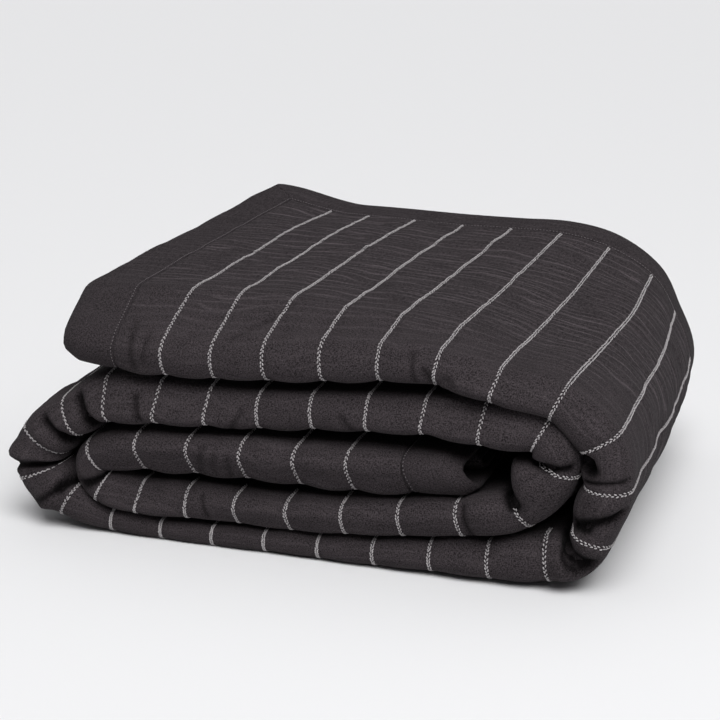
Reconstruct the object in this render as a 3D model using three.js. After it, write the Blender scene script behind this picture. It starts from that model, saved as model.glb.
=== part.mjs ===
// A quilted coverlet, folded lengthwise into a strip of four plies and then rolled flat.
//
// Units are millimetres, +Z is up. X runs along the folded strip, +Y points to the back,
// where the cloth's edges lie, and the rounded folds of the strip face -Y. The origin is
// under the middle of the bundle, on the surface that it rests on.
//
// Flat cloth coordinates: "along" runs across the stripes, from the open end on the top of
// the bundle to the end that is rolled inside, and "across" runs along the stripes.

import * as THREE from 'three';

// The flat cloth
const CLOTH_LENGTH = 2600;
const CLOTH_WIDTH = 1800;
const BORDER_WIDTH = 50;
const STRIPE_SPACING = 50;

// Thickness of the cloth where it is full, where stitching draws it in, and at its rim
const PUFF = 9.2;
const SEAM = 5.6;
const RIM = 6.4;
const BORDER_FULL = 8;
const SEWN_GAP = 0.3;
const MITRE_GAP = 1.2;

// The folded strip: four plies, one above the other, and its depth from nose to edge
const PLY_PITCH = 10.3;
const STRIP_THICKNESS = 3 * PLY_PITCH + PUFF;
const STRIP_DEPTH = 442;
const FRONT = -STRIP_DEPTH / 2;
const BACK = STRIP_DEPTH / 2;
const NOSE_CENTRE = FRONT + STRIP_THICKNESS / 2;
const BACK_FOLD_CENTRE = BACK - PLY_PITCH / 2 - PUFF / 2;
const UNDER_EDGE = BACK - 17;

// How far up a downward face may be and still be pressed flat on the floor
const PRESSED = 1.5;
// The share of the depth over which the bundle rises from its front to its back
const RISE_SHARE = 0.8;
// The share of the depth behind which the bundle draws in towards its back
const DRAW_IN_START = 0.5;
// How far the upper back corner stands up, and how far from the corner the lift dies out
const CORNER_LIFT = 16;
const CORNER_REACH = 130;

// The four plies in the order in which the cloth runs, from its upper edge to its hidden one.
// level is the ply's height in ply pitches above the strip's middle; from and to are its ends.
const PLIES = [
  { level: 1.5, from: BACK, to: NOSE_CENTRE },
  { level: -1.5, from: NOSE_CENTRE, to: BACK_FOLD_CENTRE },
  { level: -0.5, from: BACK_FOLD_CENTRE, to: NOSE_CENTRE },
  { level: 0.5, from: NOSE_CENTRE, to: UNDER_EDGE },
];
// Where every ply bends with the bundle, as shares of its depth, so that the plies lie parallel
const PLY_BENDS = [0.3, 0.65];
// Steps round the outer nose, the back fold and the inner nose
const TURN_STEPS = [6, 3, 3];

// The rolled strip's middle, one row for each place where its course changes.
// along: distance along the flat cloth; x, z, thick: at the front folds;
// backX, backZ, backThick: the same at the cloth's edges, where the plies lie looser.
const COURSE = [
  { place: 'open end on top', along: 0, x: -227, z: 178, thick: 39, backX: -207, backZ: 210, backThick: 42 },
  { place: 'top, left', along: 50, x: -181, z: 181, thick: 41, backX: -177, backZ: 212, backThick: 45 },
  { place: 'top, middle', along: 150, x: -79, z: 180, thick: 44, backX: -79, backZ: 210, backThick: 46 },
  { place: 'top, crown', along: 300, x: 72, z: 185, thick: 40, backX: 75, backZ: 207, backThick: 45 },
  { place: 'top, falling', along: 400, x: 171, z: 181, thick: 37, backX: 166, backZ: 195, backThick: 42 },
  { place: 'outer right bend, shoulder', along: 450, x: 222, z: 171, thick: 40, backX: 206, backZ: 169, backThick: 42 },
  { place: 'outer right bend, upper', along: 500, x: 256, z: 145, thick: 44, backX: 231, backZ: 136, backThick: 44 },
  { place: 'outer right bend, side', along: 550, x: 264, z: 103, thick: 44, backX: 241, backZ: 91, backThick: 44 },
  { place: 'outer right bend, lower', along: 600, x: 253, z: 58, thick: 44, backX: 227, backZ: 48, backThick: 42 },
  { place: 'outer right bend, heel', along: 650, x: 225, z: 26, thick: 46, backX: 199, backZ: 25, backThick: 40 },
  { place: 'bottom, right', along: 700, x: 170, z: 19, thick: 36, backX: 157, backZ: 20, backThick: 38 },
  { place: 'bottom, middle', along: 850, x: 18, z: 11, thick: 25, backX: 11, backZ: 17, backThick: 35 },
  { place: 'bottom, left', along: 1050, x: -182, z: 13, thick: 28, backX: -177, backZ: 17, backThick: 35 },
  { place: 'outer left bend, heel', along: 1100, x: -233, z: 26, thick: 45, backX: -221, backZ: 33, backThick: 42 },
  { place: 'outer left bend, lower', along: 1150, x: -255, z: 52, thick: 56, backX: -243, backZ: 62, backThick: 46 },
  { place: 'outer left bend, upper', along: 1200, x: -253, z: 81, thick: 54, backX: -245, backZ: 97, backThick: 46 },
  { place: 'outer left bend, shoulder', along: 1250, x: -229, z: 109, thick: 43, backX: -223, backZ: 131, backThick: 44 },
  { place: 'second layer, left', along: 1300, x: -185, z: 132, thick: 43, backX: -181, backZ: 151, backThick: 45 },
  { place: 'second layer, middle', along: 1450, x: -38, z: 132, thick: 42, backX: -37, backZ: 160, backThick: 45 },
  { place: 'second layer, crown', along: 1600, x: 111, z: 144, thick: 37, backX: 105, backZ: 158, backThick: 42 },
  { place: 'inner right bend, shoulder', along: 1700, x: 204, z: 133, thick: 37, backX: 169, backZ: 130, backThick: 40 },
  { place: 'inner right bend, side', along: 1750, x: 216, z: 102, thick: 41, backX: 192, backZ: 98, backThick: 41 },
  { place: 'inner right bend, heel', along: 1800, x: 193, z: 70, thick: 38, backX: 172, backZ: 67, backThick: 41 },
  { place: 'fourth layer, right', along: 1850, x: 143, z: 54, thick: 34, backX: 129, backZ: 62, backThick: 42 },
  { place: 'fourth layer, middle', along: 2000, x: -7, z: 43, thick: 38, backX: -11, backZ: 61, backThick: 44 },
  { place: 'fourth layer, left', along: 2150, x: -157, z: 45, thick: 33, backX: -157, backZ: 59, backThick: 42 },
  { place: 'inner left bend, heel', along: 2200, x: -189, z: 51, thick: 31, backX: -187, backZ: 66, backThick: 38 },
  { place: 'inner left bend, side', along: 2225, x: -200, z: 66, thick: 31, backX: -195, backZ: 84, backThick: 38 },
  { place: 'inner left bend, shoulder', along: 2250, x: -189, z: 80, thick: 32, backX: -187, backZ: 103, backThick: 38 },
  { place: 'third layer, left', along: 2300, x: -152, z: 86, thick: 36, backX: -152, backZ: 109, backThick: 42 },
  { place: 'third layer, middle', along: 2450, x: -2, z: 87, thick: 39, backX: -3, backZ: 110, backThick: 43 },
  { place: 'inner end', along: 2600, x: 153, z: 93, thick: 36, backX: 129, backZ: 107, backThick: 38 },
];

// The cloth's colours
const CHARCOAL = 0x38343a;
const CHARCOAL_BORDER = 0x343136;

function clamp(value, low, high) {
  return Math.min(high, Math.max(low, value));
}

function mix(a, b, share) {
  return a + (b - a) * share;
}

function smooth(share) {
  const s = clamp(share, 0, 1);
  return s * s * (3 - 2 * s);
}

// The slope of one column of COURSE at one row, from its neighbours
function slopeAt(row, column) {
  const before = COURSE[Math.max(row - 1, 0)];
  const after = COURSE[Math.min(row + 1, COURSE.length - 1)];
  return (after[column] - before[column]) / (after.along - before.along);
}

// One column of COURSE as a smooth curve through its rows
function courseValue(along, column) {
  let row = 0;
  while (row < COURSE.length - 2 && COURSE[row + 1].along < along) {
    row += 1;
  }
  const a = COURSE[row];
  const b = COURSE[row + 1];
  const span = b.along - a.along;
  const t = (along - a.along) / span;
  const startSlope = slopeAt(row, column) * span;
  const endSlope = slopeAt(row + 1, column) * span;
  const t2 = t * t;
  const t3 = t2 * t;
  return (2 * t3 - 3 * t2 + 1) * a[column] + (t3 - 2 * t2 + t) * startSlope
    + (3 * t2 - 2 * t3) * b[column] + (t3 - t2) * endSlope;
}

// The strip's middle at a distance along the cloth and at a share of the bundle's depth
function stripMiddle(along, depthShare) {
  const rise = Math.sin((Math.PI / 2) * clamp(depthShare / RISE_SHARE, 0, 1));
  const drawIn = smooth((depthShare - DRAW_IN_START) / (1 - DRAW_IN_START));
  const nearEnd = smooth(1 - along / CORNER_REACH);
  const nearBack = smooth(1 - ((1 - depthShare) * STRIP_DEPTH) / CORNER_REACH);
  return {
    x: mix(courseValue(along, 'x'), courseValue(along, 'backX'), drawIn),
    z: mix(courseValue(along, 'z'), courseValue(along, 'backZ'), rise) + CORNER_LIFT * nearEnd * nearBack,
    thick: mix(courseValue(along, 'thick'), courseValue(along, 'backThick'), rise),
  };
}

// A point of the rolled strip, from its place along the cloth and in the strip's own section
function placeInRoll(along, y, level) {
  const depthShare = clamp((y - FRONT) / STRIP_DEPTH, 0, 1);
  const step = 3;
  const middle = stripMiddle(along, depthShare);
  const before = stripMiddle(Math.max(along - step, 0), depthShare);
  const after = stripMiddle(Math.min(along + step, CLOTH_LENGTH), depthShare);
  const run = Math.hypot(after.x - before.x, after.z - before.z);
  const outward = { x: -(after.z - before.z) / run, z: (after.x - before.x) / run };
  const offset = level * (middle.thick / STRIP_THICKNESS);
  const z = middle.z + outward.z * offset;
  return new THREE.Vector3(middle.x + outward.x * offset, y, z < PRESSED ? 0 : z);
}

// The cloth's middle surface in the strip's section, as stations in running order.
// Each has its place (y, level), the direction that the right side faces, and its distance run.
function foldStations() {
  const stations = [];
  let run = 0;
  PLIES.forEach((ply, index) => {
    const forward = Math.sign(ply.to - ply.from);
    const level = ply.level * PLY_PITCH;
    const length = Math.abs(ply.to - ply.from);
    const bends = PLY_BENDS.map((share) => FRONT + share * STRIP_DEPTH);
    for (const y of [ply.from, ...(forward > 0 ? bends : bends.reverse()), ply.to]) {
      stations.push({ y, level, faceY: 0, faceLevel: -forward, run: run + Math.abs(y - ply.from) });
    }
    run += length;
    if (index < PLIES.length - 1) {
      const nextLevel = PLIES[index + 1].level * PLY_PITCH;
      const radius = Math.abs(nextLevel - level) / 2;
      const steps = TURN_STEPS[index];
      const centre = (level + nextLevel) / 2;
      // The right side is outside the first two turns and inside the last
      const side = Math.sign(level - centre) * -forward;
      for (let i = 1; i < steps; i += 1) {
        const angle = (Math.PI * i) / steps;
        const outY = forward * Math.sin(angle);
        const outLevel = Math.sign(level - centre) * Math.cos(angle);
        stations.push({
          y: ply.to + radius * outY,
          level: centre + radius * outLevel,
          faceY: side * outY,
          faceLevel: side * outLevel,
          run: run + radius * angle,
        });
      }
      run += Math.PI * radius;
    }
  });
  const scale = CLOTH_WIDTH / run;
  return stations.map((station) => ({ ...station, across: station.run * scale }));
}

const FOLDS = foldStations();

// The two stations on either side of a distance across, and its share of the way between them
function foldAt(across) {
  let i = 0;
  while (i < FOLDS.length - 2 && FOLDS[i + 1].across < across) {
    i += 1;
  }
  const near = FOLDS[i];
  const far = FOLDS[i + 1];
  return { near, far, share: clamp((across - near.across) / (far.across - near.across), 0, 1) };
}

// The right side (side 1) or the wrong side (side -1) of the cloth, at a flat place
function clothPoint(along, across, thickness, side) {
  const { near, far, share } = foldAt(across);
  const half = (side * thickness) / 2;
  const atStation = (station) => placeInRoll(along, station.y + station.faceY * half,
    station.level + station.faceLevel * half);
  return atStation(near).lerp(atStation(far), share);
}

// Whether the cloth runs towards the back at a distance across
function runsToBack(across) {
  const { near, far } = foldAt(across);
  return far.y > near.y;
}

// A closed slab of cloth over a grid of flat places: rows(i, j) gives { along, across, thickness }
function clothSolid(alongCount, acrossCount, rows) {
  const positions = [];
  const faces = [];
  const indexOf = (i, j, side) => 2 * (i * acrossCount + j) + (side > 0 ? 0 : 1);
  for (let i = 0; i < alongCount; i += 1) {
    for (let j = 0; j < acrossCount; j += 1) {
      const place = rows(i, j);
      for (const side of [1, -1]) {
        positions.push(...clothPoint(place.along, place.across, place.thickness, side).toArray());
      }
    }
  }
  const quad = (a, b, c, d) => faces.push(a, b, c, a, c, d);
  for (let i = 0; i < alongCount - 1; i += 1) {
    for (let j = 0; j < acrossCount - 1; j += 1) {
      const right = [indexOf(i, j, 1), indexOf(i, j + 1, 1), indexOf(i + 1, j + 1, 1), indexOf(i + 1, j, 1)];
      const wrong = [indexOf(i, j, -1), indexOf(i + 1, j, -1), indexOf(i + 1, j + 1, -1), indexOf(i, j + 1, -1)];
      // Plies that run to the back are split along the other diagonal, so that all twist alike
      if (runsToBack((rows(i, j).across + rows(i, j + 1).across) / 2)) {
        right.push(right.shift());
        wrong.push(wrong.shift());
      }
      quad(...right);
      quad(...wrong);
    }
  }
  const lastAlong = alongCount - 1;
  const lastAcross = acrossCount - 1;
  for (let i = 0; i < lastAlong; i += 1) {
    quad(indexOf(i, 0, 1), indexOf(i + 1, 0, 1), indexOf(i + 1, 0, -1), indexOf(i, 0, -1));
    quad(indexOf(i, lastAcross, 1), indexOf(i, lastAcross, -1),
      indexOf(i + 1, lastAcross, -1), indexOf(i + 1, lastAcross, 1));
  }
  for (let j = 0; j < lastAcross; j += 1) {
    quad(indexOf(0, j, 1), indexOf(0, j, -1), indexOf(0, j + 1, -1), indexOf(0, j + 1, 1));
    quad(indexOf(lastAlong, j, 1), indexOf(lastAlong, j + 1, 1),
      indexOf(lastAlong, j + 1, -1), indexOf(lastAlong, j, -1));
  }
  const geometry = new THREE.BufferGeometry();
  geometry.setAttribute('position', new THREE.Float32BufferAttribute(positions, 3));
  geometry.setIndex(faces);
  geometry.computeVertexNormals();
  return geometry;
}

// The places from low to high, with every inner one that stands clear of both ends
function between(low, high, inner, clear) {
  return [low, ...inner.filter((place) => place > low + clear && place < high - clear), high];
}

// Seams and the full middles of the channels between them, along the cloth
function channelPlaces() {
  const places = [];
  for (let along = STRIPE_SPACING / 2; along < CLOTH_LENGTH; along += STRIPE_SPACING / 2) {
    places.push(along);
  }
  return places;
}

// The quilted panel inside the border, drawn in at each stripe and along its hem seams
function panelGeometry() {
  const hemFade = 12;
  const start = BORDER_WIDTH + SEWN_GAP / 2;
  const alongPlaces = between(start, CLOTH_LENGTH - start, channelPlaces(), 1);
  const foldPlaces = FOLDS.map((fold) => fold.across);
  const acrossPlaces = between(start, CLOTH_WIDTH - start,
    [start + hemFade, ...foldPlaces.filter((place) => place > start + 2 * hemFade
      && place < CLOTH_WIDTH - start - 2 * hemFade), CLOTH_WIDTH - start - hemFade], 1);
  const lastAcross = acrossPlaces.length - 1;
  return clothSolid(alongPlaces.length, acrossPlaces.length, (i, j) => {
    const drawnIn = i % 2 === 0 || j === 0 || j === lastAcross;
    return { along: alongPlaces[i], across: acrossPlaces[j], thickness: drawnIn ? SEAM : PUFF };
  });
}

// Thickness over a border's three lines: its free rim, its middle and the seam that joins it
const BORDER_LINES = [
  { inset: 0, thickness: RIM },
  { inset: BORDER_WIDTH / 2, thickness: BORDER_FULL },
  { inset: BORDER_WIDTH - SEWN_GAP / 2, thickness: SEAM },
];

// A border along one of the cloth's long edges, mitred at both ends
function sideBorderGeometry(hiddenEdge) {
  const alongPlaces = between(0, CLOTH_LENGTH, channelPlaces(), BORDER_WIDTH + 1);
  const lines = hiddenEdge ? [...BORDER_LINES].reverse() : BORDER_LINES;
  return clothSolid(alongPlaces.length, lines.length, (i, j) => {
    const { inset, thickness } = lines[j];
    const mitre = inset + MITRE_GAP;
    const along = clamp(alongPlaces[i], mitre, CLOTH_LENGTH - mitre);
    return { along, across: hiddenEdge ? CLOTH_WIDTH - inset : inset, thickness };
  });
}

// A border along one of the cloth's ends, folded with it and mitred at both ends
function endBorderGeometry(innerEnd) {
  const foldPlaces = FOLDS.map((fold) => fold.across);
  const acrossPlaces = between(0, CLOTH_WIDTH, foldPlaces, BORDER_WIDTH + 1);
  const lines = innerEnd ? [...BORDER_LINES].reverse() : BORDER_LINES;
  return clothSolid(lines.length, acrossPlaces.length, (i, j) => {
    const { inset, thickness } = lines[i];
    const across = clamp(acrossPlaces[j], inset, CLOTH_WIDTH - inset);
    return { along: innerEnd ? CLOTH_LENGTH - inset : inset, across, thickness };
  });
}

function clothMesh(name, geometry, color) {
  const material = new THREE.MeshStandardMaterial({ color, roughness: 0.95, metalness: 0 });
  const mesh = new THREE.Mesh(geometry, material);
  mesh.name = name;
  return mesh;
}

const coverlet = new THREE.Group();
coverlet.add(clothMesh('quilted_panel', panelGeometry(), CHARCOAL));
coverlet.add(clothMesh('border_side_top', sideBorderGeometry(false), CHARCOAL_BORDER));
coverlet.add(clothMesh('border_side_under', sideBorderGeometry(true), CHARCOAL_BORDER));
coverlet.add(clothMesh('border_end_outer', endBorderGeometry(false), CHARCOAL_BORDER));
coverlet.add(clothMesh('border_end_inner', endBorderGeometry(true), CHARCOAL_BORDER));

export default coverlet;
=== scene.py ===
# A quilted coverlet, folded lengthwise into a strip of four plies and then rolled flat.
#
# Lengths are metres, +Z is up. Flat cloth coordinates: "along" runs across the stripes, from the
# open end on the top of the bundle to the end that is rolled inside, and "across" runs along the
# stripes, from the edge that lies on top at the back. The right side is the one that shows.

import math
from collections import namedtuple

import bpy
import numpy as np
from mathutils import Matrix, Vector


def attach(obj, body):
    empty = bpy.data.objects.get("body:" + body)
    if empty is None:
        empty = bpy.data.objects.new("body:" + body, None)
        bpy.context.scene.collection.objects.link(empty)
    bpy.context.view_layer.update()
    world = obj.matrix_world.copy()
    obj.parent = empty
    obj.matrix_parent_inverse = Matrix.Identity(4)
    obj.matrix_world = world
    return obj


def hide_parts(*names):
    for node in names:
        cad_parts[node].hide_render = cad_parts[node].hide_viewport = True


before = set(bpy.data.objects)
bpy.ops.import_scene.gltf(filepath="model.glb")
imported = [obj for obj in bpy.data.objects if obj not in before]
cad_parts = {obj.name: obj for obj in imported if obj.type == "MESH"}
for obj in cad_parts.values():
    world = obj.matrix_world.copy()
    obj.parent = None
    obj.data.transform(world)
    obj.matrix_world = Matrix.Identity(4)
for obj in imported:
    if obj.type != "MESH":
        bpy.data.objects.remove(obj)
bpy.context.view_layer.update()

bl_info = {
    "name": "Rolled coverlet",
    "version": (1, 0, 0),
    "blender": (4, 5, 0),
    "location": "3D View > Sidebar > Coverlet",
    "description": "Builds a folded and rolled quilted coverlet with its borders and stitches",
    "category": "Object",
}

MM = 0.001


def in_metres(kind, rows):
    """Rows of a table that is written in millimetres."""
    return [kind(*(value * MM for value in row)) for row in rows]


# The flat cloth
CLOTH_LENGTH = 2600 * MM
CLOTH_WIDTH = 1800 * MM
BORDER_WIDTH = 50 * MM
STRIPE_SPACING = 50 * MM
SEWN_GAP = 0.3 * MM
MITRE_GAP = 0.35 * MM
CHANNELS = round((CLOTH_LENGTH - 2 * BORDER_WIDTH) / STRIPE_SPACING)

# The folded strip
STRIP_THICKNESS = 40.1 * MM
STRIP_DEPTH = 442 * MM
FRONT = -STRIP_DEPTH / 2
# The lower layers rise evenly, up to this share of the depth
RISE_SHARE = 0.8
# The share of the depth behind which the bundle draws in
DRAW_IN_START = 0.5
# How far the upper back corner stands up, and how far from the corner the lift dies out
CORNER_LIFT = 16 * MM
CORNER_REACH = 130 * MM

# How fast the top rises behind its front fold, at the left; at the right it rises late
Rise = namedtuple("Rise", "share rise")
RISES = [Rise(*row) for row in (
    (0.0, 0.0),
    (0.036, 0.15),
    (0.1, 0.48),
    (0.15, 0.7),
    (0.3, 0.8),
    (0.6, 0.92),
    (1.0, 1.0),
)]
LATE_RISE_POWER = 1.8
# Along the cloth: the early rise holds up to here, and the late one from here
EARLY_RISE_END = 190 * MM
LATE_RISE_START = 420 * MM
# Along the cloth: the even rise of the lower layers takes over from here to here
EVEN_RISE_START = 450 * MM
EVEN_RISE_FULL = 550 * MM
# Along the cloth: the right bend, where the bundle draws in more evenly from front to back
RIGHT_BEND_START = 430 * MM
RIGHT_BEND_END = 720 * MM
RIGHT_BEND_FADE = 60 * MM
RIGHT_BEND_EVENNESS = 0.6

# How the open end on the top stands out of the smooth course, by shares of the depth
EndShape = namedtuple("EndShape", "share x z")
OPEN_END = [EndShape(*row) for row in (
    (0.0, 5 * MM, 0),
    (0.1, -3 * MM, 0),
    (0.2, -11 * MM, 0),
    (0.5, -8 * MM, 2 * MM),
    (0.75, -9 * MM, 6 * MM),
    (1.0, -3 * MM, 4 * MM),
)]
# The rolled-in end slants: its upper side stands back by this much of its height above the middle
INNER_END_SLANT = 0.55
INNER_END_REACH = 70 * MM
# The step along the cloth from which the direction of its course is taken
COURSE_STEP = 3 * MM
# How far in from each end the plies are pressed together, and the share of their spacing left
END_PINCH_REACH = 14 * MM
END_PINCH = 0.72

# Seeded noise over the flat cloth: the size of its cells along and across, and its seed
Waves = namedtuple("Waves", "along across seed")
# How many more cells than the cloth needs the noise has each way
SPARE_CELLS = 4
# The strip's slow and quick sway, the quick one's share, and how far before the front it starts
SLOW_SWAY = Waves(110 * MM, 45 * MM, 21)
QUICK_SWAY = Waves(60 * MM, 22 * MM, 22)
QUICK_SHARE = 0.5
SWAY_START = 30 * MM

# The cloth's middle in the strip's section, in millimetres, from the upper edge to the hidden one.
# behind is the distance behind the strip's front, level the height above the strip's middle.
Bend = namedtuple("Bend", "behind level")
SECTION = in_metres(Bend, (
    (442, 15.5),
    (60, 15.5),
    (30, 15.5),
    (14, 15.2),
    (7, 14),
    (2, 11),
    (-1.2, 6.5),
    (-2.4, 0),
    (-1.2, -6.5),
    (2, -11),
    (7, -14),
    (14, -15.2),
    (30, -15.5),
    (70, -15.5),
    (432, -15.5),
    (436, -14),
    (437.4, -10.3),
    (436, -6.7),
    (432, -5.2),
    (48, -5.2),
    (44.4, -3.6),
    (43, 0),
    (44.4, 3.6),
    (48, 5.2),
    (425, 5.2),
))
# How many close stations the section is read at
SECTION_STATIONS = 6000
# Where the front folds start to round, how far up a fold its lean grows, and how deep it reaches
FOLD_DEPTH = 14 * MM
LEAN_LEVEL = 13 * MM
LEAN_DEPTH = 90 * MM

# The rolled strip's middle, in millimetres, one row for each place where its course changes.
# x, z and thick hold at the front folds, back_x, back_z and back_thick at the cloth's edges.
Course = namedtuple("Course", "along x z thick back_x back_z back_thick")
COURSE = in_metres(Course, (
    (0, -227, 176, 33, -207, 210, 42),
    (50, -172, 172, 37, -166, 211, 44),
    (150, -79, 173, 37, -79, 210, 45),
    (200, -31, 177, 39, -29, 209, 45),
    (250, 21, 183, 38, 23, 208, 45),
    (300, 72, 187, 35, 75, 208, 45),
    (350, 122, 186, 32, 125, 208, 44),
    (400, 172, 176, 30, 169, 200, 42),
    (450, 225, 166, 35, 204, 177, 42),
    (500, 260, 135, 42, 221, 146, 44),
    (550, 267, 96, 42, 238, 107, 44),
    (585, 259, 66, 41, 232, 76, 42),
    (610, 251, 43, 37, 210, 51, 42),
    (630, 237, 29, 38, 191, 36, 40),
    (650, 218, 27, 43, 175, 27, 40),
    (700, 168, 20, 34, 150, 20, 38),
    (850, 14, 11, 21, 11, 17, 35),
    (1050, -185, 12, 22, -178, 16, 35),
    (1100, -227, 27, 38, -222, 30, 42),
    (1150, -256, 52, 52, -240, 62, 46),
    (1200, -251, 83, 50, -241, 97, 46),
    (1250, -221, 106, 41, -218, 131, 44),
    (1300, -183, 126, 42, -179, 151, 45),
    (1350, -134, 128, 38, -132, 156, 45),
    (1450, -38, 131, 33, -37, 160, 45),
    (1600, 111, 142, 32, 105, 158, 42),
    (1650, 162, 141, 37, 141, 148, 41),
    (1700, 211, 137, 37, 172, 132, 40),
    (1750, 223, 109, 40, 194, 98, 41),
    (1800, 194, 71, 38, 172, 67, 41),
    (1850, 143, 54, 34, 129, 62, 42),
    (2000, -12, 38, 30, -14, 61, 44),
    (2100, -109, 36, 29, -108, 59, 42),
    (2150, -157, 36, 28, -157, 58, 42),
    (2200, -194, 43, 31, -189, 66, 38),
    (2225, -205, 57, 31, -195, 84, 38),
    (2250, -199, 71, 33, -187, 103, 38),
    (2300, -152, 81, 39, -152, 109, 42),
    (2450, -2, 85, 40, -3, 110, 43),
    (2550, 96, 90, 41, 86, 109, 41),
    (2600, 151, 93, 38, 129, 107, 38),
))

# How the front folds stand, in millimetres: how far the upper half leans forward of the lower one,
# and how far the whole fold stands back
Front = namedtuple("Front", "along lean back")
FRONTS = in_metres(Front, (
    (0, 3, -5),
    (100, 2, -5),
    (170, 0, 0),
    (250, -2, 0),
    (350, -3, 0),
    (400, -9, 0),
    (450, -5, 0),
    (500, 0, 0),
    (600, 0, 3),
    (650, -1, 8),
    (700, -1, 5),
    (850, 0, 2),
    (1050, 0, 0),
    (1200, 0, 0),
    (1250, -3, 0),
    (1300, -7, 0),
    (1400, -6, 0),
    (1450, -1, 0),
    (1500, 0, 0),
    (1550, -4, 0),
    (1600, -7, 0),
    (1650, -7, 0),
    (1750, 0, 0),
    (1850, 3, 0),
    (1950, 2, 0),
    (2050, 4, 0),
    (2100, -1, 0),
    (2150, -5, 0),
    (2225, 0, 0),
    (2300, 6, 0),
    (2600, 5, 0),
))

# Across the flat cloth: where the front folds pass out of sight
FRONT_END = 530 * MM

# The lines of cloth across the plies: up to each place, in steps of this size
Zone = namedtuple("Zone", "upto step")
ACROSS_ZONES = [
    Zone(FRONT_END, 10 * MM),
    Zone(930 * MM, 50 * MM),
    Zone(995 * MM, 6.5 * MM),
    Zone(1360 * MM, 52 * MM),
    Zone(1420 * MM, 7.5 * MM),
    Zone(1740 * MM, 53 * MM),
    Zone(CLOTH_WIDTH, 10 * MM),
]
# Lines stay this far from a sheet's edges
LINE_MARGIN = 2 * MM
# A mesh edge this straight lies on one line, and a face whose normal rises this much faces up
SAME_LINE = 0.1 * MM
FACING_UP = 0.5
# Steps over one channel between two stripes, and how much they crowd towards the stripes
CHANNEL_STEPS = 3
CHANNEL_CROWDING = 0.6
# How round a channel is: a lower power makes it fuller beside its stripes
CHANNEL_POWER = 0.6
# The distance from the side seams over which the panel fills out
SEAM_FADE = 12 * MM
# A flat slab's thickness before it is shaped
SLAB_THICKNESS = 6 * MM

# Patches of the right side that show, and how many cuts each gets
Patch = namedtuple("Patch", "along_from along_to across_from across_to cuts")
PATCHES = [
    Patch(50 * MM, 650 * MM, 50 * MM, FRONT_END, 3),
    Patch(650 * MM, 2550 * MM, 400 * MM, FRONT_END, 3),
    Patch(1100 * MM, 1300 * MM, 50 * MM, 400 * MM, 1),
]
# The front folds get this many more cuts, only along the cloth
FOLD_PATCH = Patch(50 * MM, 2550 * MM, 458 * MM, 506 * MM, 1)
# How far past a patch its wrinkles die out
SHOWN_FADE = 20 * MM

# The wrinkles: how they bend, their long and short crests, the dents among them, and where they
# are strong
BENDS = Waves(80 * MM, 60 * MM, 3)
LONG_CRESTS = Waves(110 * MM, 15 * MM, 11)
SHORT_CRESTS = Waves(60 * MM, 11 * MM, 12)
DENTS = Waves(34 * MM, 22 * MM, 13)
STRENGTH = Waves(90 * MM, 55 * MM, 5)
BEND_REACH = 12 * MM
CREST_WIDTH = 0.3
LONG_SHARE = 0.6
DENT_SHARE = 0.4
STRENGTH_MIDDLE = 0.55
STRENGTH_SWING = 0.6
# Across the flat cloth, wrinkles fade towards the front folds, over this distance up to here
WRINKLES_END = 430 * MM
WRINKLES_FADE = 160 * MM
# The least share of a wrinkle: where the noise or the front folds weaken it, and at a stripe
LEAST_WRINKLE = 0.25
STRIPE_WRINKLE = 0.35
# A border's share of the wrinkles, and how far from its edges they reach full height
BORDER_WRINKLE = 0.6
BORDER_FADE = 15 * MM

# Creases in the right side: soft troughs from one flat place to another, in millimetres
Crease = namedtuple("Crease", "along across along_to across_to width depth")
CREASES = in_metres(Crease, (
    (168, 463, 192, 439, 2.5, 1.5),
    (192, 439, 208, 405, 2.5, 1.5),
    (66, 450, 69, 492, 3.5, 2),
    (84, 462, 81, 484, 3, 1.4),
    (329, 470, 333, 498, 2.5, 2),
    (341, 484, 352, 500, 3, 2.5),
    (541, 500, 537, 466, 2.2, 3.5),
    (508, 508, 526, 494, 7, 9),
    (592, 502, 588, 488, 5, 7),
    (586, 490, 566, 466, 4, 6),
    (633, 560, 624, 502, 8, 14),
    (624, 502, 617, 470, 5, 9),
    (634, 492, 627, 474, 3, 3.5),
    (1106, 512, 1113, 493, 4.5, 7),
    (1113, 493, 1126, 470, 3.5, 4),
    (1161, 455, 1167, 490, 4.5, 7),
    (1167, 490, 1180, 530, 6, 9),
    (1226, 474, 1236, 496, 4, 5),
    (1236, 496, 1252, 530, 6, 9),
    (1273, 470, 1278, 496, 4, 6),
    (1278, 496, 1296, 530, 7, 10),
    (1331, 478, 1338, 494, 3, 3),
    (1424, 500, 1436, 480, 3, 2),
    (1537, 496, 1528, 482, 3.5, 2),
    (1742, 468, 1745, 488, 3.5, 5),
    (1745, 488, 1746, 545, 6, 10),
    (1803, 545, 1798, 490, 6, 10),
    (1843, 500, 1842, 466, 2.5, 3),
    (2083, 498, 2078, 474, 2.2, 2.5),
    (2207, 506, 2215, 474, 5, 7),
    (2358, 494, 2366, 470, 3.5, 1.8),
    (2372, 492, 2378, 474, 3, 1.5),
    (2386, 494, 2390, 476, 3, 1.6),
))
# A crease this deep gets the full painted shade, which hides nearly all light
DARK_CREASE = 4 * MM

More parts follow.
